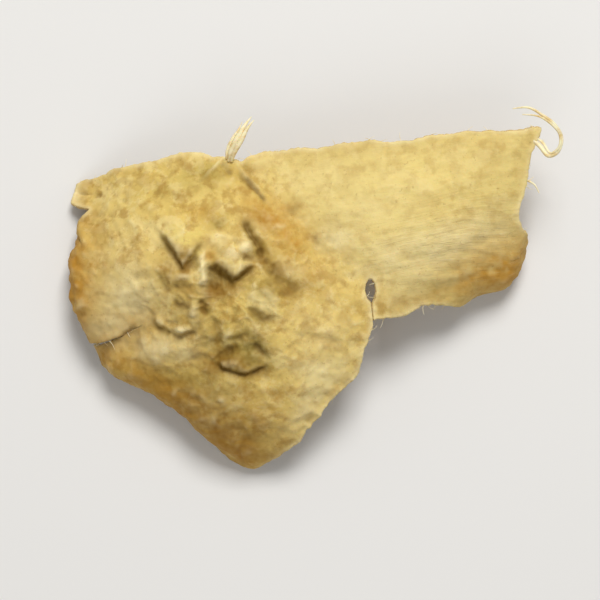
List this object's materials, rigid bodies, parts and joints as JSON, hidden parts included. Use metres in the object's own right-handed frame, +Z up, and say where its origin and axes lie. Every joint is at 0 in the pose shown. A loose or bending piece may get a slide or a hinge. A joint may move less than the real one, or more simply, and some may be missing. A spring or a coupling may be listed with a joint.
{
  "type": "dried ginger peel",
  "caption": "Curled flake of dried ginger skin: a rounded cap with a puckered bud scar and a flat wing beside it.",
  "frame": {"origin": "middle of the flake's footprint, on the surface that it lies on", "axes": "+X along the flake from its rounded cap to its wing, +Y across it towards its long straight edge, +Z up out of the skin side"},
  "size_m": [0.0199, 0.0145, 0.0048],
  "materials": {
    "dry_peel": "dry, matt, finely wrinkled plant skin"
  },
  "bodies": {
    "root": {"ginger_peel": "dry_peel"}
  },
  "joints": []
}
